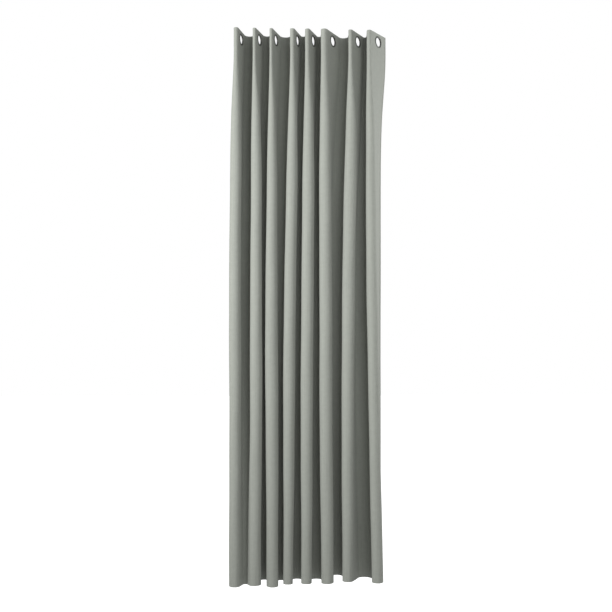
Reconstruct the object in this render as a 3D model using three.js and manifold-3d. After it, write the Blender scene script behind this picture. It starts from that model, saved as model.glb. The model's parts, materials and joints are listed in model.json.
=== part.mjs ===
// A gathered eyelet-top curtain panel, hanging from a rod that isn't part of it.
//
// Frame: the origin is on the rod's axis at the panel's mid-width. +X runs along the rod,
// -Y faces the room and +Z is up. Seen from above, the cloth winds round upright folds:
// ridges towards the room, valleys towards the window. The straight stretch between a ridge
// and a valley is a flank, and each flank carries one eyelet on the rod's axis. A flank turns
// on the upright folds at its two sides, as the curtain is drawn along the rod.

import * as THREE from 'three';
import { mergeVertices } from 'three/addons/utils/BufferGeometryUtils.js';
import Module from 'manifold-3d';

const wasm = await Module();
wasm.setup();

// Panel, millimetres
const PANEL_WIDTH = 2000; // flat, between the side edges
const PANEL_DROP = 2450; // top edge to bottom edge
const GATHERED_WIDTH = 690; // along the rod, as it hangs
const CLOTH_THICKNESS = 1.6; // cloth, facing and stiffener together in the heading

// Eyelets, millimetres
const EYELET_DROP = 38; // top edge to the rod's axis
const BORE_DIAMETER = 40;
const FLANGE_WIDTH = 6;
const FLANGE_THICKNESS = 1.6;
const BARREL_WALL = 1.4;
const BARREL_STUB = 0.5; // how far the barrel stands out of the back ring

// Care label, millimetres
const LABEL_WIDTH = 30;
const LABEL_LENGTH = 48;
const LABEL_THICKNESS = 0.8;
const LABEL_HEIGHT = 180; // its middle above the bottom edge

// Clearances, millimetres
const SEAT_GAP = 0.3; // between pieces that touch
const BARREL_GAP = 0.4; // between the barrel and what it passes through
const FOLD_GAP = 1.2; // from a fold's turning line to the edge of each flank
const LABEL_GAP = 1; // between the label and the cloth, which twists a little
const SPINE_HALF_WIDTH = 5; // half the strip of cloth that stays put at the middle fold

// Steps of the round shapes
const RING_STEPS = 20;
const ARC_STEPS = 3;

// Ridges from left to right, as [left side, right side] at four heights, for the drawn width.
const DRAWN_WIDTH = 690;
const RIDGES = [
  [[-346, -327], [-357, -315], [-363, -311], [-358, -310]],
  [[-262, -248], [-266, -230], [-269, -219], [-272, -219]],
  [[-187, -174], [-193, -160], [-203, -151], [-194, -144]],
  [[-95, -76], [-103, -63], [-121, -68], [-122, -82]],
  [[-28, -8], [-33, 9], [-44, 10], [-46, 1]],
  [[43, 71], [38, 84], [36, 90], [43, 97]],
  [[167, 184], [155, 202], [138, 194], [136, 180]],
  [[250, 270], [246, 283], [247, 295], [265, 314]],
];
// The four heights, as shares of the drop below the heading.
const HEADING_DEPTH = 90;
const STATIONS = [0, 0.13, 0.44, 1];
// How far each valley's left side lies right of the ridge before it, at the four heights.
const SPREADS = [
  [25, 6, -6, 10],
  [31, 5, -6, -6],
  [33, 8, -6, -6],
  [31, 5, -6, -2],
  [37, 10, -6, -2],
  [58, 24, -4, -6],
  [58, 25, 2, 30],
  [70, 38, 17, -6],
];
// The valley beside the first ridge is shallower towards the hem: how far it stands forward of
// the others there, and its own tuck behind the next ridge.
const SHALLOW_VALLEY_FORWARD = [0, 0, 0, 46];
const SHALLOW_VALLEY_TUCK = [8, 8, 8, -8];
const FLANK_TUCK = 8; // how far a valley's right side runs behind the ridge on its right
const PARTING_REACH = 0.6; // share of a bend within which it may be parted
const END_FOLD_WIDTH = 12; // the two side edges curl over folds this wide

const SECTION_SHARES = [0, 0.13, 0.3, 0.6, 1];

const scale = GATHERED_WIDTH / DRAWN_WIDTH;
const top = EYELET_DROP;
const bottom = EYELET_DROP - PANEL_DROP;
const headingEnd = top - HEADING_DEPTH;
const flankCount = 2 * RIDGES.length;
const middleFold = flankCount / 2;
const boreRadius = BORE_DIAMETER / 2;
const barrelRadius = boreRadius + BARREL_WALL;
const flangeRadius = boreRadius + FLANGE_WIDTH;
const holeRadius = barrelRadius + BARREL_GAP;
const halfCloth = CLOTH_THICKNESS / 2;

// A smooth value between those given at the four stations.
function between(values, share) {
  const i = share > STATIONS[2] ? 2 : Number(share > STATIONS[1]);
  const span = STATIONS[i + 1] - STATIONS[i];
  const t = (share - STATIONS[i]) / span;
  const slope = (k) => {
    const a = Math.max(k - 1, 0);
    const b = Math.min(k + 1, STATIONS.length - 1);
    return k === 0 ? 0 : (values[b] - values[a]) / (STATIONS[b] - STATIONS[a]);
  };
  const rise = values[i + 1] - values[i];
  const m0 = slope(i) * span;
  const m1 = slope(i + 1) * span;
  return values[i] + m0 * t + (3 * rise - 2 * m0 - m1) * t ** 2 + (m0 + m1 - 2 * rise) * t ** 3;
}

// The folds' left and right sides at one height, from the left edge to the right edge.
function foldSides(share) {
  const side = (ridge, i) => between(ridge.map((pair) => pair[i]), share);
  const ridges = RIDGES.map((ridge) => [side(ridge, 0), side(ridge, 1)]);
  const firstRight = ridges[0][0] + FLANK_TUCK;
  const folds = [[firstRight - END_FOLD_WIDTH, firstRight]];
  ridges.forEach((ridge, k) => {
    const left = ridge[1] + between(SPREADS[k], share);
    const next = ridges[k + 1] ?? [-Infinity];
    const tuck = k === 0 ? between(SHALLOW_VALLEY_TUCK, share) : FLANK_TUCK;
    const right = Math.max(next[0] + tuck, left + END_FOLD_WIDTH);
    folds.push(ridge, [left, right]);
  });
  return folds;
}

// Circles that the cloth winds round: ridges in front of the rod, valleys behind it.
function foldCircles(share, depth) {
  const forward = between(SHALLOW_VALLEY_FORWARD, share);
  return foldSides(share).map(([left, right], k) => ({
    x: (scale * (left + right)) / 2,
    y: k % 2 === 0 ? depth - (k === 2 ? forward : 0) : -depth,
    radius: (scale * (right - left)) / 2,
    turn: k % 2 === 0 ? -1 : 1,
  }));
}

// The heading (angle of travel) and length of the straight flank between two circles.
function straight(from, to) {
  const distance = Math.hypot(to.x - from.x, to.y - from.y);
  const reach = from.radius + to.radius;
  const lean = Math.asin(Math.min(reach / distance, 0.999));
  return {
    heading: Math.atan2(to.y - from.y, to.x - from.x) + from.turn * lean,
    length: Math.sqrt(Math.max(distance ** 2 - reach ** 2, 0)),
  };
}

function clothLength(circles) {
  const flanks = circles.slice(1).map((circle, k) => straight(circles[k], circle));
  let length = 0;
  circles.forEach((circle, k) => {
    const arrive = k > 0 ? flanks[k - 1].heading : 0;
    const leave = k < flanks.length ? flanks[k].heading : 0;
    length += circle.radius * Math.abs(leave - arrive);
  });
  return flanks.reduce((sum, flank) => sum + flank.length, length);
}

// The folds at one height, as deep as the flat width of cloth makes them.
function section(share) {
  let shallow = 10;
  let deep = PANEL_WIDTH / flankCount;
  for (let i = 0; i < 40; i += 1) {
    const depth = (shallow + deep) / 2;
    if (clothLength(foldCircles(share, depth)) < PANEL_WIDTH) shallow = depth;
    else deep = depth;
  }
  const circles = foldCircles(share, deep);
  return { circles, flanks: circles.slice(1).map((circle, k) => straight(circles[k], circle)) };
}

// The direction out of the cloth's room side, at an angle of travel.
function outward(heading) {
  return new THREE.Vector2(Math.sin(heading), -Math.cos(heading));
}

// A point of the cloth's mid-line on a circle, at an angle of travel.
function onCircle(circle, heading) {
  return new THREE.Vector2(
    circle.x + circle.turn * circle.radius * Math.sin(heading),
    circle.y - circle.turn * circle.radius * Math.cos(heading),
  );
}

const heading = section(0);

// The eyelets' centres: where the flanks cross the rod's axis.
const eyelets = heading.flanks.map((flank, k) => {
  const start = onCircle(heading.circles[k], flank.heading);
  return { x: start.x - start.y / Math.tan(flank.heading), angle: flank.heading };
});

// The angle of travel at which each fold is parted: above its turning line, or as near to that
// as leaves a good part of the bend on both sides, and room for the strip at the middle fold.
// The turning line lies midway between the eyelets on both sides of the fold, so that the
// eyelets stay in line as the flanks turn.
const partings = heading.circles.map((circle, k) => {
  if (k === 0 || k === flankCount) return 0;
  const turningX = (eyelets[k - 1].x + eyelets[k].x) / 2;
  const sine = THREE.MathUtils.clamp((circle.turn * (turningX - circle.x)) / circle.radius, -1, 1);
  const bend = [eyelets[k - 1].angle, eyelets[k].angle].map((angle) => PARTING_REACH * angle);
  const strip = k === middleFold ? SPINE_HALF_WIDTH / circle.radius : 0;
  return THREE.MathUtils.clamp(Math.asin(sine), Math.min(...bend) + strip, Math.max(...bend) - strip);
});

// Mid-line points with their outward normals, between two angles of travel on neighbouring
// circles.
function flankLine({ circles, flanks }, k, fromAngle, toAngle) {
  const points = [];
  const add = (circle, angle) => points.push({ at: onCircle(circle, angle), normal: outward(angle) });
  const turn = flanks[k].heading;
  for (let i = 0; i <= ARC_STEPS; i += 1) {
    add(circles[k], THREE.MathUtils.lerp(fromAngle, turn, i / ARC_STEPS));
  }
  for (let i = 0; i <= ARC_STEPS; i += 1) {
    add(circles[k + 1], THREE.MathUtils.lerp(turn, toAngle, i / ARC_STEPS));
  }
  return points;
}

// A closed ribbon of cloth through one line of points at each height. Its two faces split their
// twisted quads along the same diagonals, so they stay a cloth's thickness apart.
function ribbon(lines, heights) {
  const positions = [];
  const count = lines[0].length;
  lines.forEach((line, row) => {
    for (const side of [halfCloth, -halfCloth]) {
      for (const { at, normal } of line) {
        positions.push(at.x + side * normal.x, at.y + side * normal.y, heights[row]);
      }
    }
  });
  const index = [];
  const quad = (a, b, c, d) => index.push(a, b, c, a, c, d);
  const vertex = (row, side, i) => row * 2 * count + side * count + i;
  const last = lines.length - 1;
  const end = count - 1;
  for (let row = 0; row < last; row += 1) {
    const above = row + 1;
    for (let i = 0; i < end; i += 1) {
      quad(vertex(row, 0, i), vertex(row, 0, i + 1), vertex(above, 0, i + 1), vertex(above, 0, i));
      quad(vertex(row, 1, i), vertex(above, 1, i), vertex(above, 1, i + 1), vertex(row, 1, i + 1));
    }
    quad(vertex(row, 1, 0), vertex(row, 0, 0), vertex(above, 0, 0), vertex(above, 1, 0));
    quad(vertex(row, 0, end), vertex(row, 1, end), vertex(above, 1, end), vertex(above, 0, end));
  }
  for (let i = 0; i < end; i += 1) {
    quad(vertex(0, 0, i + 1), vertex(0, 0, i), vertex(0, 1, i), vertex(0, 1, i + 1));
    quad(vertex(last, 0, i), vertex(last, 0, i + 1), vertex(last, 1, i + 1), vertex(last, 1, i));
  }
  const geometry = new THREE.BufferGeometry();
  geometry.setAttribute('position', new THREE.Float32BufferAttribute(positions, 3));
  geometry.setIndex(index);
  return geometry;
}

function toSolid(geometry) {
  const index = geometry.index.array;
  const positions = geometry.attributes.position.array;
  return new wasm.Manifold(
    new wasm.Mesh({ numProp: 3, vertProperties: positions, triVerts: Uint32Array.from(index) }),
  );
}

function toGeometry(solid) {
  const mesh = solid.getMesh();
  const geometry = new THREE.BufferGeometry();
  geometry.setAttribute('position', new THREE.Float32BufferAttribute(mesh.vertProperties, 3));
  geometry.setIndex(new THREE.Uint32BufferAttribute(mesh.triVerts, 1));
  geometry.computeVertexNormals();
  return geometry;
}

// The same shape with its shared corners merged, as a solid needs.
function welded(geometry) {
  geometry.deleteAttribute('normal');
  geometry.deleteAttribute('uv');
  return mergeVertices(geometry, 1e-4);
}

// A solid of revolution about the Y axis, from [radius, height] corners listed anticlockwise.
function turned(corners) {
  const profile = [...corners, corners[0]].map(([radius, y]) => new THREE.Vector2(radius, y));
  return welded(new THREE.LatheGeometry(profile, RING_STEPS));
}

// Turns the Y axis of an eyelet's pieces to the room side of its flank, and centres them on it.
function seatOn(geometry, eyelet) {
  geometry.rotateZ(eyelet.angle + Math.PI);
  geometry.translate(eyelet.x, 0, 0);
  return geometry;
}

// A stretch of cloth over the whole drop, between angles on two neighbouring folds.
function clothGeometry(line) {
  const rows = SECTION_SHARES.map((share) => ({
    height: THREE.MathUtils.lerp(headingEnd, bottom, share),
    points: line(section(share)),
  }));
  rows.unshift({ height: top, points: rows[0].points });
  rows.reverse();
  return ribbon(rows.map((row) => row.points), rows.map((row) => row.height));
}

// The angle, from a fold's parting to where a piece of cloth stops, that leaves it clear.
function stopAngle(fold) {
  if (fold === 0 || fold === flankCount) return 0;
  const stop = fold === middleFold ? SPINE_HALF_WIDTH + FOLD_GAP : FOLD_GAP;
  return stop / heading.circles[fold].radius;
}

// The flank between fold k and fold k + 1, with a round hole for its eyelet's barrel.
function flankGeometry(k) {
  const fromAngle = partings[k] + heading.circles[k].turn * stopAngle(k);
  const toAngle = partings[k + 1] - heading.circles[k + 1].turn * stopAngle(k + 1);
  const cloth = clothGeometry((at) => flankLine(at, k, fromAngle, toAngle));
  const drill = new THREE.CylinderGeometry(holeRadius, holeRadius, flangeRadius, RING_STEPS);
  const hole = seatOn(welded(drill), eyelets[k]);
  return toGeometry(toSolid(cloth).subtract(toSolid(hole)));
}

// The strip of cloth along the middle fold, which stays put as the flanks turn.
function middleFoldGeometry() {
  const half = SPINE_HALF_WIDTH / heading.circles[middleFold].radius;
  return clothGeometry(({ circles }) => {
    const circle = circles[middleFold];
    return [1, 0, -1].map((side) => {
      const angle = partings[middleFold] + side * half;
      return { at: onCircle(circle, angle), normal: outward(angle) };
    });
  });
}

const seat = halfCloth + SEAT_GAP;
const ringFace = seat + FLANGE_THICKNESS;
const barrelEnd = -(ringFace + BARREL_STUB);
const edge = FLANGE_THICKNESS / 2; // rounding of the front ring's two rims

// Front half: a rimmed ring on the room side with a barrel that goes through the cloth.
const eyeletFront = (eyelet) => seatOn(turned([
  [boreRadius, barrelEnd],
  [barrelRadius, barrelEnd],
  [barrelRadius, seat],
  [flangeRadius, seat],
  [flangeRadius, ringFace - edge],
  [flangeRadius - 0.3 * edge, ringFace - 0.3 * edge],
  [flangeRadius - edge, ringFace],
  [boreRadius + edge, ringFace],
  [boreRadius + 0.3 * edge, ringFace - 0.3 * edge],
  [boreRadius, ringFace - edge],
]), eyelet);

// Back half: a flat ring that snaps round the barrel on the window side.
const eyeletBack = (eyelet) => seatOn(turned([
  [barrelRadius + BARREL_GAP, -ringFace],
  [flangeRadius - edge, -ringFace],
  [flangeRadius, -ringFace + edge],
  [flangeRadius, -seat],
  [barrelRadius + BARREL_GAP, -seat],
]), eyelet);

// A blank sewn label on the window side of the last flank, near the hem.
function careLabel() {
  const share = 1 - LABEL_HEIGHT / (headingEnd - bottom);
  const { circles, flanks } = section(share);
  const last = flankCount - 1;
  const angle = flanks[last].heading;
  const start = onCircle(circles[last], angle);
  const along = new THREE.Vector2(Math.cos(angle), Math.sin(angle));
  const off = -(halfCloth + LABEL_GAP + LABEL_THICKNESS / 2);
  const at = start.addScaledVector(along, flanks[last].length / 2).addScaledVector(outward(angle), off);
  const geometry = new THREE.BoxGeometry(LABEL_WIDTH, LABEL_THICKNESS, LABEL_LENGTH);
  geometry.rotateZ(angle);
  geometry.translate(at.x, at.y, bottom + LABEL_HEIGHT);
  return geometry;
}

const fabric = new THREE.MeshStandardMaterial({ color: 0x94978f, roughness: 0.95, metalness: 0 });
const eyeletPaint = new THREE.MeshStandardMaterial({ color: 0x6f736b, roughness: 0.45, metalness: 0.3 });
const labelTape = new THREE.MeshStandardMaterial({ color: 0xe4e4de, roughness: 0.9, metalness: 0 });

const panel = new THREE.Group();

function addPiece(name, geometry, material) {
  const mesh = new THREE.Mesh(geometry, material.clone());
  mesh.name = name;
  panel.add(mesh);
}

addPiece('cloth_middle_fold', middleFoldGeometry(), fabric);
eyelets.forEach((eyelet, k) => {
  const number = String(k + 1).padStart(2, '0');
  addPiece(`cloth_flank_${number}`, flankGeometry(k), fabric);
  addPiece(`eyelet_front_${number}`, eyeletFront(eyelet), eyeletPaint);
  addPiece(`eyelet_back_${number}`, eyeletBack(eyelet), eyeletPaint);
});
addPiece('care_label', careLabel(), labelTape);

export default panel;
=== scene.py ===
# The looks of a gathered eyelet curtain panel, hung from a rod that isn't part of it.
#
# Metres, in the imported model's frame: X along the rod, -Y towards the room, Z up, and the
# origin on the rod's axis. The cloth is one sheet, worked out as a grid of columns across its
# flat width and rows down its drop, and then cut into strips from eyelet to eyelet, each
# strip crossing one fold.
import json
import math

import bpy
import numpy as np
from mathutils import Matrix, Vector


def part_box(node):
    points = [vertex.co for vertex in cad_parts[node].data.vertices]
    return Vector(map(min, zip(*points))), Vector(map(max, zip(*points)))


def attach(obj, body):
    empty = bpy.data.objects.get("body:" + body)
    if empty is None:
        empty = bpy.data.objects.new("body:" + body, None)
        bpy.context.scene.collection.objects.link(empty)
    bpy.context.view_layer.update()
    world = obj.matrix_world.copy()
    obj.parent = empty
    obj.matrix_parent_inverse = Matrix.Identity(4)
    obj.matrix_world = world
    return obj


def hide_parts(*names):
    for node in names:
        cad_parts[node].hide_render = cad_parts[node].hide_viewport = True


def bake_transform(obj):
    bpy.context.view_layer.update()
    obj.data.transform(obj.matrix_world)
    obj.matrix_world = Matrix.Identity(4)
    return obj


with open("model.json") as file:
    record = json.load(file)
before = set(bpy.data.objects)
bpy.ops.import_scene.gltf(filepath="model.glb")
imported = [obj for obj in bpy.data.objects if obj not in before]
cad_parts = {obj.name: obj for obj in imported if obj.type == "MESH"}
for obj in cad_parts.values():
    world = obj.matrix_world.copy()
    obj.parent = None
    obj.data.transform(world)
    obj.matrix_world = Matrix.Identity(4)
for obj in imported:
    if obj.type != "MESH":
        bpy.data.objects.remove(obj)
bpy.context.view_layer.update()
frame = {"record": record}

# Sizes, metres
CLOTH = 0.0009  # thickness of a single layer
HEADING_CLOTH = 0.0016  # cloth, tape and turned-over cloth in the heading
HEM_CLOTH = 0.0022
HEADING_DEPTH = 0.082  # top edge to the lower stitch line
HEM_DEPTH = 0.042
SIDE_HEM = 0.028
BORE_RADIUS = 0.020
FLANGE_RADIUS = 0.026
FLANGE_THICKNESS = 0.0016
BARREL_STUB = 0.0005  # how far the barrel stands out of the back ring
BARREL_WALL = 0.0014
BARREL_CLEARANCE = 0.0004  # between the barrel and the back ring
CUT_RADIUS = 0.0232  # hole in the cloth, under the rings' rims
SEAT_GAP = 0.0002  # between a ring and the cloth
FLAT_WIDTH = 2.0
RIM_EDGE = 0.0004  # where a rim's round top starts above its flat face, and the barrel's chamfer
THREAD_RADIUS = 0.00035
THREAD_LIFT = 0.0001  # a room-side stitch's middle, past half the cloth's thickness
STITCH_LENGTH = 0.0052
SIDE_STITCH_LENGTH = 0.0035
HEADING_STITCH_INSET = 0.0015  # above the heading's lower edge
HEM_STITCH_INSET = 0.003  # below the hem's upper edge
LABEL_WIDTH = 0.030
LABEL_THICKNESS = 0.0004
LABEL_STAND_OFF = 0.0011  # from the cloth's mid-surface
LABEL_CURL = 0.0028  # how far the label's free end stands off further
LABEL_BOW = 0.0006
SLOW_WAVE = 0.0016  # how far the hung cloth waves, in long waves down the folds
FINE_WAVE = 0.0007
HEM_PUCKER = 0.0005

# The folds, in millimetres from mid-width: [left side, right side] of each ridge at four
# heights, which are given as shares of the drop below the heading.
STATIONS = [0.0, 0.13, 0.44, 1.0]
RIDGES = [
    [(-346, -327), (-357, -315), (-363, -311), (-358, -310)],
    [(-262, -248), (-266, -230), (-269, -219), (-272, -219)],
    [(-187, -174), (-193, -160), (-203, -151), (-194, -144)],
    [(-95, -76), (-103, -63), (-121, -68), (-122, -82)],
    [(-28, -8), (-33, 9), (-44, 10), (-46, 1)],
    [(43, 71), (38, 84), (36, 90), (43, 97)],
    [(167, 184), (155, 202), (138, 194), (136, 180)],
    [(250, 270), (246, 283), (247, 295), (265, 314)],
]
# How far each valley's left side lies right of the ridge before it, at the same heights.
SPREADS = [
    (25, 6, -6, 10),
    (31, 5, -6, -6),
    (33, 8, -6, -6),
    (31, 5, -6, -2),
    (37, 10, -6, -2),
    (58, 24, -4, -6),
    (58, 25, 2, 30),
    (70, 38, 17, -6),
]
# How far each valley's right side runs behind the ridge after it. The valley beside the first
# ridge is shallower towards the hem: it has a tuck of its own, and stands forward there.
FLANK_TUCK = 8
SHALLOW_VALLEY_TUCK = (8, 8, 8, -8)
SHALLOW_VALLEY_FORWARD = (0, 0, 0, 46)
END_FOLD = 12
SECTION_DROP = 0.09  # below the top edge the folds keep one section this far down

# How much lower than level each fold's hem hangs, valleys and ridges in turn
HEM_DROPS = [
    0.007, 0.007, 0.008, 0.002, 0.005, 0.010, 0.008, 0.000, 0.004,
    -0.001, 0.006, -0.001, -0.009, -0.007, 0.004, 0.000, 0.000,
]

# Grid
COLUMNS = 30  # from one eyelet to the next
HEADING_STEP = 0.003
BODY_STEP = 0.012
HEM_STEP = 0.004
HEADING_MARGIN = 0.012  # how far the close rows go on past the heading
HEM_MARGIN = 0.010
STITCH_COLUMNS = 2  # from one stitch to the next
LABEL_STEPS = 12
RING_STEPS = 72
RIM_STEPS = 8
THREAD_SIDES = 6
# Where the rings of a stitch's corners are, as shares of its length, and how thick it is there
THREAD_RINGS = ((-0.5, 0.25), (-0.35, 0.85), (0.0, 1.0), (0.35, 0.85), (0.5, 0.25))
THREAD_CORNERS = THREAD_SIDES * len(THREAD_RINGS)
GREATEST_LEAN = 0.6  # of the planes that bound the slab across a strip's fold
LEAN_TRIES = 25
LEAST_HALF_SLAB = 0.002

# Weave: threads in a metre, of which every second one shows as a band
WARP_THREADS = 1400
WEFT_THREADS = 1250
THREADS_IN_BAND = 2
WAVE_BANDS = 3.1831  # bands in one unit of a wave texture, at a scale of one

eyelet_count = len(frame["record"]["physics"]["openings"])
cloth_low, cloth_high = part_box("cloth_flank_01")
top = cloth_high.z
bottom = cloth_low.z
section_end = top - SECTION_DROP
pitch = FLAT_WIDTH / eyelet_count


def between(values, shares):
    """Smooth values between those given at the four stations."""
    values = np.asarray(values, float)
    stations = np.asarray(STATIONS)
    slopes = np.gradient(values, stations)
    slopes[0] = 0
    i = np.clip(np.searchsorted(stations, shares, side="right") - 1, 0, len(stations) - 2)
    span = stations[i + 1] - stations[i]
    t = (shares - stations[i]) / span
    rise = values[i + 1] - values[i]
    m0, m1 = slopes[i] * span, slopes[i + 1] * span
    return values[i] + m0 * t + (3 * rise - 2 * m0 - m1) * t**2 + (m0 + m1 - 2 * rise) * t**3


def smoothstep(value, low, high):
    t = np.clip((value - low) / (high - low), 0, 1)
    return t * t * (3 - 2 * t)


def fold_sides(shares):
    """Left and right sides of all folds, as rows of heights by folds, in metres."""
    lefts, rights = [], []

    def add(left, right):
        lefts.append(left / 1000)
        rights.append(right / 1000)

    ridges = [
        (between([s[0] for s in ridge], shares), between([s[1] for s in ridge], shares))
        for ridge in RIDGES
    ]
    first = ridges[0][0] + FLANK_TUCK
    add(first - END_FOLD, first)
    for k, (left, right) in enumerate(ridges):
        add(left, right)
        valley_left = right + between(SPREADS[k], shares)
        next_left = ridges[k + 1][0] if k + 1 < len(ridges) else np.full_like(left, -1000)
        tuck = between(SHALLOW_VALLEY_TUCK, shares) if k == 0 else FLANK_TUCK
        add(valley_left, np.maximum(next_left + tuck, valley_left + END_FOLD))
    return np.stack(lefts, 1), np.stack(rights, 1)


class Folds:
    """Circles that the cloth winds round, and the straight flanks between them."""

    def __init__(self, shares):
        left, right = fold_sides(shares)
        self.x = (left + right) / 2
        self.radius = (right - left) / 2
        self.turn = np.where(np.arange(self.x.shape[1]) % 2 == 0, -1.0, 1.0)
        self.forward = np.zeros_like(self.x)
        self.forward[:, 2] = between(SHALLOW_VALLEY_FORWARD, shares) / 1000
        shallow = np.full(len(shares), 0.010)
        deep = np.full(len(shares), pitch)
        for _ in range(40):
            depth = (shallow + deep) / 2
            short = self.measure(depth) < FLAT_WIDTH
            shallow = np.where(short, depth, shallow)
            deep = np.where(short, deep, depth)

    def measure(self, depth):
        """Sets the folds' depth, and gives the length of cloth that this takes."""
        self.y = -self.turn * depth[:, None] - self.forward
        dx = np.diff(self.x, axis=1)
        dy = np.diff(self.y, axis=1)
        distance = np.hypot(dx, dy)
        reach = self.radius[:, 1:] + self.radius[:, :-1]
        lean = np.arcsin(np.clip(reach / distance, 0, 0.999))
        self.heading = np.arctan2(dy, dx) + self.turn[:-1] * lean
        self.straight = np.sqrt(np.maximum(distance**2 - reach**2, 1e-8))
        none = np.zeros((len(depth), 1))
        arrive = np.hstack([none, self.heading])
        leave = np.hstack([self.heading, none])
        self.arc = self.radius * np.abs(leave - arrive)
        return self.straight.sum(1) + self.arc.sum(1)

    def on_circle(self, k, heading):
        """Points of circle k, for one heading a row or an array of them."""
        pick = (slice(None), None) if heading.ndim == 2 else slice(None)
        reach = (self.turn[k] * self.radius[:, k])[pick]
        x = self.x[:, k][pick] + reach * np.sin(heading)
        y = self.y[:, k][pick] - reach * np.cos(heading)
        return np.stack([x, y], -1)


def rows_of_heights():
    heading = np.arange(top, top - HEADING_DEPTH - HEADING_MARGIN, -HEADING_STEP)
    hem = np.arange(bottom, bottom + HEM_DEPTH + HEM_MARGIN, HEM_STEP)[::-1]
    count = int((heading[-1] - hem[0]) / BODY_STEP)
    body = np.linspace(heading[-1], hem[0], count + 1)[1:-1]
    return np.concatenate([heading, body, hem])


heights = rows_of_heights()
shares = np.clip((section_end - heights) / (section_end - bottom), 0, 1)
folds = Folds(shares)


def eyelet_places():
    """Each eyelet's x, its flank's heading, and its share of the way along the flank."""
    places = []
    for k in range(eyelet_count):
        heading = folds.heading[0, k]
        start = folds.on_circle(k, folds.heading[:, k])[0]
        along = -start[1] / math.sin(heading)
        places.append((start[0] + along * math.cos(heading), heading, along / folds.straight[0, k]))
    return places


eyelets = eyelet_places()


def stretch(k, steps):
    """The cloth's mid-line between eyelets k and k + 1 round the fold between them."""
    fold = k + 1
    arrive, leave = folds.heading[:, k], folds.heading[:, k + 1]
    run_in = (1 - eyelets[k][2]) * folds.straight[:, k]
    run_out = eyelets[k + 1][2] * folds.straight[:, k + 1]
    return walk(fold, arrive, leave, run_in, run_out, steps)


def walk(fold, arrive, leave, run_in, run_out, steps):
    """Points at even steps along a straight, an arc of a fold and another straight."""
    arc = folds.radius[:, fold] * np.abs(leave - arrive)
    total = run_in + arc + run_out
    s = total[:, None] * steps
    bend = np.clip((s - run_in[:, None]) / np.maximum(arc, 1e-9)[:, None], 0, 1)
    heading = arrive[:, None] + (leave - arrive)[:, None] * bend
    points = folds.on_circle(fold, heading)
    before = np.minimum(s - run_in[:, None], 0)
    after = np.maximum(s - (run_in + arc)[:, None], 0)
    for run in (before, after):
        points[..., 0] += run * np.cos(heading)
        points[..., 1] += run * np.sin(heading)
    return points


def sheet_grid():
    """The whole cloth's mid-surface, as rows of heights by columns, and its columns' places."""
    none = np.zeros(len(heights))
    half = np.linspace(0, 1, COLUMNS // 2 + 1)
    first, last = folds.heading[:, 0], folds.heading[:, -1]
    parts = [walk(0, none, first, none, eyelets[0][2] * folds.straight[:, 0], half)]
    for k in range(eyelet_count - 1):
        parts.append(stretch(k, np.linspace(0, 1, COLUMNS + 1))[:, 1:])
    run_in = (1 - eyelets[-1][2]) * folds.straight[:, -1]
    parts.append(walk(eyelet_count, last, none, run_in, none, half)[:, 1:])
    flat = np.concatenate(parts, 1)
    grid = np.dstack([flat, np.broadcast_to(heights[:, None], flat.shape[:2])])
    return grid, np.linspace(0, FLAT_WIDTH, grid.shape[1])


def unit(vectors):
    return vectors / np.linalg.norm(vectors, axis=-1, keepdims=True)


def normals_of(grid):
    across = np.gradient(grid, axis=1)
    down = np.gradient(grid, axis=0)
    return unit(np.cross(down, across))


def settle(grid, columns):
    """Small waves of hung cloth: slow ones down the folds, and puckers at the hem."""
    u = columns[None, :]
    z = heights[:, None]
    free = smoothstep(-z, 0.05, 0.45)
    slow = np.sin(u * 23 + z * 2.1) * np.sin(z * 3.7 + u * 5.3 + 1.0)
    fine = np.sin(u * 61 - z * 5.0 + 0.7) * np.sin(z * 9.1 - u * 13 + 2.0)
    hem = np.exp(-(((z - bottom - HEM_DEPTH) / 0.05) ** 2))
    pucker = np.sin(u * 290 + 3 * np.sin(u * 31)) * hem
    shift = free * (SLOW_WAVE * slow + FINE_WAVE * fine) + HEM_PUCKER * pucker
    return grid + shift[..., None] * normals_of(grid)


def uneven_hem(grid):
    """The bottom edge isn't quite level: each fold's hem hangs a little lower or higher."""
    place = np.arange(grid.shape[1]) / COLUMNS
    left = np.clip(place.astype(int), 0, eyelet_count - 1)
    drops = np.array(HEM_DROPS)
    drop = drops[left] + (drops[left + 1] - drops[left]) * smoothstep(place - left, 0, 1)
    near = smoothstep(-(heights[:, None] - bottom), -0.5, 0.0)
    lowered = grid.copy()
    lowered[..., 2] -= near * drop
    return lowered


def layer_thickness(columns):
    """How thick the cloth is all over, with its heading and hems."""
    z = np.broadcast_to(heights[:, None], (len(heights), len(columns)))
    u = np.broadcast_to(columns[None, :], z.shape)
    heading = smoothstep(z, top - HEADING_DEPTH - 0.002, top - HEADING_DEPTH + 0.001)
    hem = smoothstep(-z, -(bottom + HEM_DEPTH + 0.002), -(bottom + HEM_DEPTH - 0.002))
    side_line = FLAT_WIDTH / 2 - SIDE_HEM
    side = smoothstep(np.abs(u - FLAT_WIDTH / 2), side_line - 0.003, side_line)
    thick = CLOTH + (HEADING_CLOTH - CLOTH) * heading
    return np.maximum(thick, CLOTH + (HEM_CLOTH - CLOTH) * np.maximum(hem, side * (1 - heading)))


grid, columns = sheet_grid()
grid = uneven_hem(settle(grid, columns))
normals = normals_of(grid)
thickness = layer_thickness(columns)


# Materials


def new_material(name, roughness, metallic=0.0, sheen=0.0):
    material = bpy.data.materials.new(name)
    material.use_nodes = True
    shader = material.node_tree.nodes["Principled BSDF"]
    shader.inputs["Roughness"].default_value = roughness
    shader.inputs["Metallic"].default_value = metallic
    shader.inputs["Sheen Weight"].default_value = sheen
    return material, material.node_tree, shader


def node(tree, kind, **settings):
    made = tree.nodes.new(kind)
    for name, value in settings.items():
        if name in made.inputs:
            made.inputs[name].default_value = value
        else:
            setattr(made, name, value)
    return made


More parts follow.
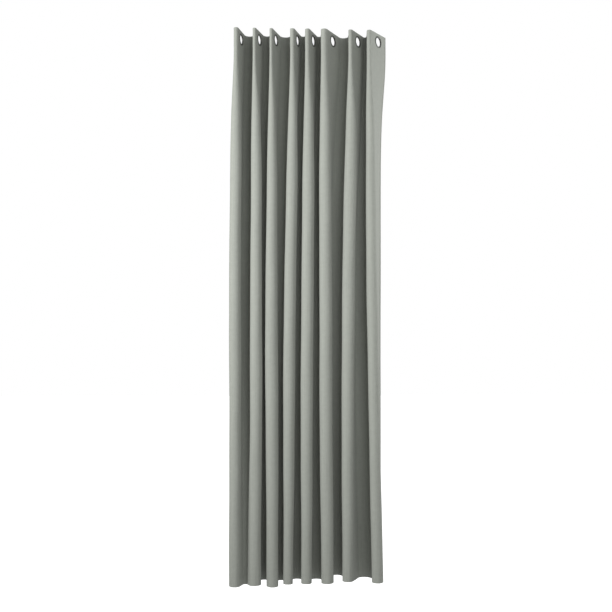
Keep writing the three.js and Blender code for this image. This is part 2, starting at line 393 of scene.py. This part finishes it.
def cloth_coordinates(tree, across, down):
    """The cloth's own coordinates (across its flat width, down its drop), scaled."""
    place = node(tree, "ShaderNodeUVMap", uv_map="cloth")
    scaled = node(tree, "ShaderNodeMapping", Scale=(across, down, 1))
    tree.links.new(place.outputs["UV"], scaled.inputs["Vector"])
    return scaled.outputs["Vector"]


def math_node(tree, operation, first, second):
    made = node(tree, "ShaderNodeMath", operation=operation)
    for socket, value in zip(made.inputs, (first, second)):
        if isinstance(value, (int, float)):
            socket.default_value = value
        else:
            tree.links.new(value, socket)
    return made.outputs[0]


def weighted_sum(tree, first, first_weight, second, second_weight):
    parts = (
        math_node(tree, "MULTIPLY", first, first_weight),
        math_node(tree, "MULTIPLY", second, second_weight),
    )
    return math_node(tree, "ADD", *parts)


def threads(tree, direction, per_metre):
    """Rounded threads side by side, as heights from 0 to 1."""
    wave = node(tree, "ShaderNodeTexWave", wave_type="BANDS", bands_direction=direction)
    wave.inputs["Scale"].default_value = per_metre / WAVE_BANDS / THREADS_IN_BAND
    wave.inputs["Distortion"].default_value = 0.6
    wave.inputs["Detail"].default_value = 1.0
    tree.links.new(cloth_coordinates(tree, 1, 1), wave.inputs["Vector"])
    return wave.outputs["Fac"]


def streaks(tree, across, down, detail=2.0):
    """Uneven yarn: noise drawn out along one direction, from 0 to 1."""
    noise = node(tree, "ShaderNodeTexNoise", Scale=1.0, Detail=detail, Roughness=0.6)
    tree.links.new(cloth_coordinates(tree, across, down), noise.inputs["Vector"])
    return noise.outputs["Fac"]


def plain_weave(name, dark, light, roughness):
    """Sage linen-look plain weave: two sets of threads, uneven yarn and a soft mottle."""
    material, tree, shader = new_material(name, roughness, sheen=0.12)
    shader.inputs["Sheen Roughness"].default_value = 0.5
    warp = threads(tree, "X", WARP_THREADS)
    weft = threads(tree, "Y", WEFT_THREADS)
    weave = math_node(tree, "MAXIMUM", warp, weft)
    slub = weighted_sum(tree, streaks(tree, 24, 900), 0.35, streaks(tree, 700, 6), 0.65)
    mottle = streaks(tree, 60, 60, detail=4.0)
    yarn = weighted_sum(tree, slub, 0.75, mottle, 0.25)
    tone = math_node(tree, "ADD", yarn, math_node(tree, "MULTIPLY", weave, 0.12))
    ramp = node(tree, "ShaderNodeValToRGB")
    ramp.color_ramp.elements[0].position = 0.32
    ramp.color_ramp.elements[0].color = (*dark, 1)
    ramp.color_ramp.elements[1].position = 0.78
    ramp.color_ramp.elements[1].color = (*light, 1)
    tree.links.new(tone, ramp.inputs["Fac"])
    tree.links.new(ramp.outputs["Color"], shader.inputs["Base Color"])
    height = math_node(tree, "ADD", math_node(tree, "MULTIPLY", weave, 0.6), slub)
    bump = node(tree, "ShaderNodeBump", Strength=0.35, Distance=0.0004)
    tree.links.new(height, bump.inputs["Height"])
    tree.links.new(bump.outputs["Normal"], shader.inputs["Normal"])
    return material


def eyelet_paint():
    """Satin grey-green enamel over metal, very slightly uneven."""
    material, tree, shader = new_material("eyelet_enamel", 0.38, metallic=0.25)
    place = node(tree, "ShaderNodeTexCoord")
    noise = node(tree, "ShaderNodeTexNoise", Scale=260.0, Detail=3.0)
    tree.links.new(place.outputs["Object"], noise.inputs["Vector"])
    ramp = node(tree, "ShaderNodeValToRGB")
    ramp.color_ramp.elements[0].color = (0.060, 0.064, 0.056, 1)
    ramp.color_ramp.elements[1].color = (0.100, 0.105, 0.092, 1)
    tree.links.new(noise.outputs["Fac"], ramp.inputs["Fac"])
    tree.links.new(ramp.outputs["Color"], shader.inputs["Base Color"])
    bump = node(tree, "ShaderNodeBump", Strength=0.08, Distance=0.0002)
    tree.links.new(noise.outputs["Fac"], bump.inputs["Height"])
    tree.links.new(bump.outputs["Normal"], shader.inputs["Normal"])
    return material


fabric = plain_weave("sage_plain_weave", (0.233, 0.246, 0.218), (0.332, 0.347, 0.313), 0.92)
thread = plain_weave("sewing_thread", (0.20, 0.21, 0.185), (0.30, 0.31, 0.275), 0.7)
label_tape = plain_weave("label_tape", (0.62, 0.62, 0.58), (0.80, 0.80, 0.76), 0.85)
enamel = eyelet_paint()


# Meshes


def new_object(name, points, faces, material, cloth_places=None, point_normals=None):
    mesh = bpy.data.meshes.new(name)
    mesh.from_pydata(points.tolist(), [], faces)
    mesh.materials.append(material)
    mesh.shade_smooth()
    if cloth_places is not None:
        layer = mesh.uv_layers.new(name="cloth")
        corners = np.empty(len(mesh.loops), int)
        mesh.loops.foreach_get("vertex_index", corners)
        layer.data.foreach_set("uv", np.asarray(cloth_places)[corners].ravel())
    if point_normals is not None:
        mesh.normals_split_custom_set_from_vertices(point_normals.tolist())
    made = bpy.data.objects.new(name, mesh)
    bpy.context.scene.collection.objects.link(made)
    return made


def cloth_strip(name, first, last):
    """A strip of the cloth with both its faces, from one column to another."""
    pick = (slice(None), slice(first, last + 1))
    middle, out, thick = grid[pick], normals[pick], thickness[pick][..., None]
    front_share = np.where(thick > HEADING_CLOTH + 1e-5, CLOTH / 2, thick / 2)
    front = middle + out * front_share
    back = middle - out * (thick - front_share)
    rows, count = middle.shape[:2]
    points = np.concatenate([front.reshape(-1, 3), back.reshape(-1, 3)])
    number = np.arange(rows * count).reshape(rows, count)
    behind = number + rows * count
    centres = (middle[:-1, :-1] + middle[1:, 1:]) / 2
    keep = np.ones((rows - 1, count - 1), bool)
    for x, _, _ in eyelets:
        keep &= np.linalg.norm(centres - np.array([x, 0, 0]), axis=2) > CUT_RADIUS
    faces = []
    for sheet, flip in ((number, False), (behind, True)):
        quads = np.stack([sheet[:-1, :-1], sheet[1:, :-1], sheet[1:, 1:], sheet[:-1, 1:]], -1)[keep]
        faces += (quads[:, ::-1] if flip else quads).tolist()
    border = []
    border += [(number[0, i], number[0, i + 1]) for i in range(count - 1)]
    border += [(number[-1, i + 1], number[-1, i]) for i in range(count - 1)]
    if first == 0:
        border += [(number[i + 1, 0], number[i, 0]) for i in range(rows - 1)]
    if last == grid.shape[1] - 1:
        border += [(number[i, -1], number[i + 1, -1]) for i in range(rows - 1)]
    offset = rows * count
    faces += [(int(a), int(b), int(b) + offset, int(a) + offset) for a, b in border]
    across, down = np.broadcast_arrays(columns[None, first:last + 1], heights[:, None])
    places = np.stack([across, down], -1).reshape(-1, 2)
    both_places = np.concatenate([places, places])
    both_normals = np.concatenate([out.reshape(-1, 3), -out.reshape(-1, 3)])
    made = new_object(name, points, faces, fabric, both_places, both_normals)
    return made


def blend_slab(first, last, near_first, near_last):
    """The slab of space across the fold that a strip crosses. Columns near its ends stay outside
    the slab.

    It is the widest slab, between planes that may lean with the fold, that keeps them out.
    """
    strip = grid[:, first:last + 1]
    best = None
    for lean in np.linspace(-GREATEST_LEAN, GREATEST_LEAN, LEAN_TRIES):
        place = strip[..., 0] + lean * strip[..., 1]
        low = place[:, :near_first].max(1)
        high = place[:, -near_last:].min(1)
        slope, centre = np.polyfit(heights, (low + high) / 2, 1)
        middle = centre + slope * heights
        half = min((middle - low).min(), (high - middle).min())
        if best is None or half > best[0]:
            best = (half, np.array([1.0, lean, -slope]), centre)
    half, across, centre = best
    half = max(half, LEAST_HALF_SLAB)
    size = across @ across
    return across * (centre - half) / size, across * (centre + half) / size


def capsule_points(at, along, out, length):
    """Corners of a short rounded thread, in rings along its length."""
    side = np.cross(out, along)
    rings = []
    for share, girth in THREAD_RINGS:
        for k in range(THREAD_SIDES):
            angle = k * 2 * math.pi / THREAD_SIDES
            spoke = out * math.cos(angle) + side * math.sin(angle)
            rings.append(at + along * (share * length) + spoke * THREAD_RADIUS * girth)
    return rings


def capsule_faces(start):
    last_ring = start + THREAD_CORNERS - THREAD_SIDES
    faces = [
        [start + k for k in reversed(range(THREAD_SIDES))],
        [last_ring + k for k in range(THREAD_SIDES)],
    ]
    for ring in range(start, last_ring, THREAD_SIDES):
        for k in range(THREAD_SIDES):
            a, b = ring + k, ring + (k + 1) % THREAD_SIDES
            faces.append([a, b, b + THREAD_SIDES, a + THREAD_SIDES])
    return faces


def stitch_row(name, row, first, last):
    """Stitches on the cloth's room side, along one row of the grid."""
    points, faces, places = [], [], []
    for i in range(first, last, STITCH_COLUMNS):
        at = grid[row, i] + normals[row, i] * (thickness[row, i] / 2 + THREAD_LIFT)
        along = unit(grid[row, i + 1] - grid[row, i])
        faces += capsule_faces(len(points))
        points += capsule_points(at, along, normals[row, i], STITCH_LENGTH)
        places += [(columns[i], heights[row])] * THREAD_CORNERS
    return new_object(name, np.array(points), faces, thread, places)


def side_stitches(name, column):
    """Stitches down the cloth's window side, along one column of the grid."""
    points, faces, places = [], [], []
    for i in range(len(heights) - 1):
        at = grid[i, column] - normals[i, column] * (thickness[i, column] - CLOTH / 2)
        along = unit(grid[i + 1, column] - grid[i, column])
        faces += capsule_faces(len(points))
        points += capsule_points(at, along, -normals[i, column], SIDE_STITCH_LENGTH)
        places += [(columns[column], heights[i])] * THREAD_CORNERS
    return new_object(name, np.array(points), faces, thread, places)


# The cloth's strips, each with the bodies that it spans


def flank(number):
    return f"flank_{number:02d}"


def nearest_row(height):
    return int(np.argmin(np.abs(heights - height)))


half_pitch = COLUMNS // 2
ring_columns = math.ceil(COLUMNS * FLANGE_RADIUS / pitch) + 1
heading_row = nearest_row(top - HEADING_DEPTH + HEADING_STITCH_INSET)
hem_row = nearest_row(bottom + HEM_DEPTH - HEM_STITCH_INSET)
last_column = grid.shape[1] - 1
middle_fold = eyelet_count // 2


def join(piece, slab, first_body, last_body):
    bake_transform(piece)


def make_strip(number, first, last, bodies, near):
    """One strip of cloth and its two rows of stitches, attached to one body, or left unattached
    where it spans two.
    """
    made = [
        cloth_strip(f"cloth_strip_{number:02d}", first, last),
        stitch_row(f"heading_stitches_{number:02d}", heading_row, first, last),
        stitch_row(f"hem_stitches_{number:02d}", hem_row, first, last),
    ]
    slab = blend_slab(first, last, *near) if len(bodies) == 2 else None
    for piece in made:
        if slab is None:
            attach(piece, bodies[0])
        else:
            join(piece, slab, *bodies)
    return made[0]


strips = [make_strip(1, 0, half_pitch, [flank(1)], None)]
for k in range(1, eyelet_count):
    first = half_pitch + (k - 1) * COLUMNS
    last = first + COLUMNS
    if k == middle_fold:
        centre = first + half_pitch
        before, after = [flank(k), "middle_fold"], ["middle_fold", flank(k + 1)]
        strips.append(make_strip(k + 1, first, centre, before, (ring_columns, 1)))
        strips.append(make_strip(eyelet_count + 2, centre, last, after, (1, ring_columns)))
    else:
        both = [flank(k), flank(k + 1)]
        strips.append(make_strip(k + 1, first, last, both, (ring_columns, ring_columns)))
end_first = last_column - half_pitch
strips.append(make_strip(eyelet_count + 1, end_first, last_column, [flank(eyelet_count)], None))
for k in range(1, eyelet_count + 1):
    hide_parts(f"cloth_flank_{k:02d}")
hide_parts("cloth_middle_fold")

side_columns = round(SIDE_HEM / FLAT_WIDTH * last_column)
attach(side_stitches("side_hem_stitches_left", side_columns), flank(1))
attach(side_stitches("side_hem_stitches_right", last_column - side_columns), flank(eyelet_count))


# Eyelets


def turned(name, profile):
    """A ring from a closed profile of (radius, height) corners, turned about the local Z axis."""
    angles = np.arange(RING_STEPS) * 2 * math.pi / RING_STEPS
    profile = np.array(profile)
    points = np.stack([
        profile[None, :, 0] * np.cos(angles)[:, None],
        profile[None, :, 0] * np.sin(angles)[:, None],
        np.broadcast_to(profile[None, :, 1], (RING_STEPS, len(profile))),
    ], -1).reshape(-1, 3)
    count = len(profile)
    faces = []
    for i in range(RING_STEPS):
        here, next_one = i * count, ((i + 1) % RING_STEPS) * count
        for j in range(count):
            after = (j + 1) % count
            faces.append([here + j, next_one + j, next_one + after, here + after])
    return new_object(name, points, faces, enamel)


def rounded(low, high, start, end):
    """Points of a half-round rim from one radius to another, standing up from low to high."""
    centre, reach = (start + end) / 2, (end - start) / 2
    angles = np.linspace(0, math.pi, RIM_STEPS + 1)
    return [(centre - reach * math.cos(a), low + (high - low) * math.sin(a) ** 0.7) for a in angles]


seat = HEADING_CLOTH / 2 + SEAT_GAP
face = seat + FLANGE_THICKNESS
barrel = BORE_RADIUS + BARREL_WALL
front_profile = [(FLANGE_RADIUS, seat), (barrel, seat), (barrel, -face)]
front_profile += [(barrel - RIM_EDGE, -face - BARREL_STUB), (BORE_RADIUS, -face - BARREL_STUB / 2)]
front_profile += rounded(seat + RIM_EDGE, face, BORE_RADIUS, FLANGE_RADIUS)
back_inner = barrel + BARREL_CLEARANCE
back_profile = [(back_inner, -seat), (FLANGE_RADIUS, -seat)]
back_profile += rounded(-seat - RIM_EDGE, -face, back_inner, FLANGE_RADIUS)[::-1]


def place_eyelet(piece, place, body, cad_node):
    x, heading, _ = place
    out = Vector((math.sin(heading), -math.cos(heading), 0))
    piece.rotation_mode = "QUATERNION"
    piece.rotation_quaternion = out.to_track_quat("Z", "Y")
    piece.location = (x, 0, 0)
    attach(piece, body)
    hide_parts(cad_node)


for k, place in enumerate(eyelets, 1):
    front = turned(f"eyelet_front_ring_{k:02d}", front_profile)
    back = turned(f"eyelet_back_ring_{k:02d}", back_profile)
    place_eyelet(front, place, flank(k), f"eyelet_front_{k:02d}")
    place_eyelet(back, place, flank(k), f"eyelet_back_{k:02d}")


# Care label


def care_label():
    """A blank tape, a little curled, sewn to the window side of the last flank."""
    low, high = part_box("care_label")
    column = last_column - half_pitch
    row = nearest_row(high.z)
    out = -normals[row, column]
    along = unit(np.cross(out, [0, 0, 1]))
    steps = LABEL_STEPS
    drop = high.z - low.z
    origin = grid[row, column] + out * LABEL_STAND_OFF
    points = []
    for side in (0, LABEL_THICKNESS):
        for i in range(steps + 1):
            for j in range(steps + 1):
                down, across = i / steps, j / steps - 0.5
                lift = LABEL_CURL * down**2 + LABEL_BOW * math.sin(3 * across) + side
                point = origin + along * LABEL_WIDTH * across + out * lift
                points.append([point[0], point[1], high.z - drop * down])
    faces = []
    side_count = (steps + 1) ** 2
    for i in range(steps):
        for j in range(steps):
            a = i * (steps + 1) + j
            quad = [a, a + 1, a + steps + 2, a + steps + 1]
            faces.append(quad)
            faces.append([side_count + v for v in reversed(quad)])
    rim = list(range(steps + 1))
    rim += [(i + 1) * (steps + 1) - 1 for i in range(1, steps + 1)]
    rim += [steps * (steps + 1) + j for j in reversed(range(steps))]
    rim += [i * (steps + 1) for i in reversed(range(1, steps))]
    for a, b in zip(rim, rim[1:] + rim[:1]):
        faces.append([b, a, a + side_count, b + side_count])
    points = np.array(points)
    places = np.stack([points[:, 0] * 2, points[:, 2]], -1)
    return new_object("care_label_tape", points, faces, label_tape, places)


label = care_label()
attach(label, flank(eyelet_count))
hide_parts("care_label")


# Stage, lights and camera

CAMERA_DISTANCE = 3.70
CAMERA_AZIMUTH = math.radians(-3.4)
CAMERA_HEIGHT = -1.357
AIM = (-0.0224, 0.0, -1.2005)
LENS = 48.8
FLOOR_SIZE = 40
FLOOR_DROP = 0.5  # the hem hangs this far above the floor


def seen_as_white(tree, dimmer):
    """A strength that is one for what the camera sees directly, and dimmer as a light."""
    path = node(tree, "ShaderNodeLightPath")
    seen = math_node(tree, "MULTIPLY", path.outputs["Is Camera Ray"], 1 - dimmer)
    return math_node(tree, "ADD", seen, dimmer)


def pale_floor(size, height):
    """A plain matte floor, grey as it takes light and white as the camera sees it."""
    bpy.ops.mesh.primitive_plane_add(size=size, location=(0, 0, height))
    plane = bpy.context.object
    plane.name = "floor"
    material, tree, shader = new_material("floor_paper", 0.9)
    shader.inputs["Base Color"].default_value = (0.55, 0.55, 0.55, 1)
    shader.inputs["Emission Color"].default_value = (1, 1, 1, 1)
    tree.links.new(seen_as_white(tree, 0), shader.inputs["Emission Strength"])
    plane.data.materials.append(material)


def aimed(data, location, target):
    """A new light or camera at a location, turned to its target."""
    made = bpy.data.objects.new(data.name, data)
    made.location = location
    made.rotation_mode = "QUATERNION"
    made.rotation_quaternion = (Vector(target) - Vector(location)).to_track_quat("-Z", "Y")
    bpy.context.scene.collection.objects.link(made)
    return made


def soft_light(name, location, target, size, power):
    light = bpy.data.lights.new(name, "AREA")
    light.shape = "RECTANGLE"
    light.size, light.size_y = size
    light.energy = power
    aimed(light, location, target)


def soft_spot(name, location, target, size, cone, power):
    """A wide, soft-edged spot, whose light falls off away from its target."""
    light = bpy.data.lights.new(name, "SPOT")
    light.shadow_soft_size = size
    light.spot_size = math.radians(cone)
    light.spot_blend = 1.0
    light.energy = power
    aimed(light, location, target)


def white_surround(strength):
    world = bpy.data.worlds.new("white_surround")
    world.use_nodes = True
    background = world.node_tree.nodes["Background"]
    background.inputs["Color"].default_value = (1, 1, 1, 1)
    seen = seen_as_white(world.node_tree, strength)
    world.node_tree.links.new(seen, background.inputs["Strength"])
    bpy.context.scene.world = world


pale_floor(FLOOR_SIZE, bottom - FLOOR_DROP)
white_surround(0.45)
soft_spot("key", (-3.0, -2.1, -0.6), (0, 0, 0.05), 0.7, 114, 610)
soft_light("front_fill", (0.9, -3.4, -0.3), (0, 0, 0.4), (2.0, 1.6), 42)
soft_light("side_fill", (2.2, 0.2, -0.5), (0, 0, -0.2), (1.0, 1.6), 32)

camera = bpy.data.cameras.new("camera")
camera.lens = LENS
camera_place = (
    CAMERA_DISTANCE * math.sin(CAMERA_AZIMUTH),
    -CAMERA_DISTANCE * math.cos(CAMERA_AZIMUTH),
    CAMERA_HEIGHT,
)
bpy.context.scene.camera = aimed(camera, camera_place, AIM)
bpy.context.scene.view_settings.view_transform = "Standard"
